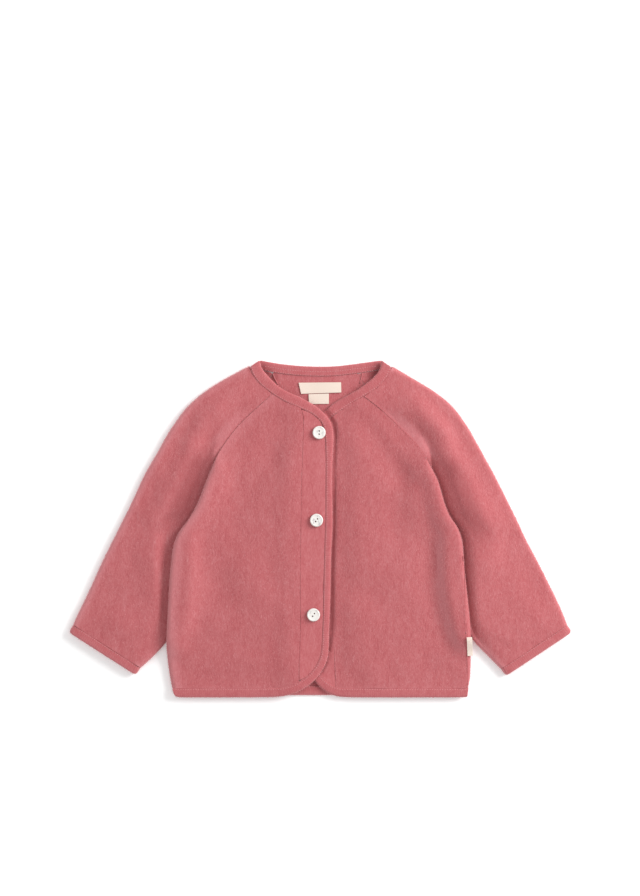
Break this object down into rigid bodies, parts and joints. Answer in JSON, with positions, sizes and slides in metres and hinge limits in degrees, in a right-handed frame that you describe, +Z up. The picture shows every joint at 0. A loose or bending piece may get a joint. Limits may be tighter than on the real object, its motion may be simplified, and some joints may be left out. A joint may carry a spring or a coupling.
{
  "type": "baby fleece jacket",
  "caption": "Long-sleeved raglan baby jacket of brushed wool fleece, round neck, bound edges and buttoned front, laid flat on its back and closed.",
  "frame": {"origin": "bottom centre of the jacket's bounding box, on the surface it lies on", "axes": "+Z up from the surface, +Y from the hem to the neck, +X towards the wearer's left sleeve"},
  "size_m": [0.5016, 0.3369, 0.0171],
  "materials": {
    "fleece": "brushed",
    "fleece_strip": "brushed",
    "fleece_binding": "brushed",
    "woven_label": "woven",
    "shell": "polished"
  },
  "bodies": {
    "root": {"back": "fleece", "front_right": "fleece", "front_left": "fleece", "sleeve_right": "fleece", "sleeve_left": "fleece", "placket_right": "fleece_strip", "placket_left": "fleece_strip", "binding_front_right": "fleece_binding", "binding_front_left": "fleece_binding", "binding_neck_back": "fleece_binding", "binding_hem_back": "fleece_binding", "binding_cuff_right": "fleece_binding", "binding_cuff_left": "fleece_binding", "button_top": "shell", "button_middle": "shell", "button_bottom": "shell", "label_neck": "woven_label", "label_size": "woven_label", "label_side": "woven_label"}
  },
  "joints": []
}
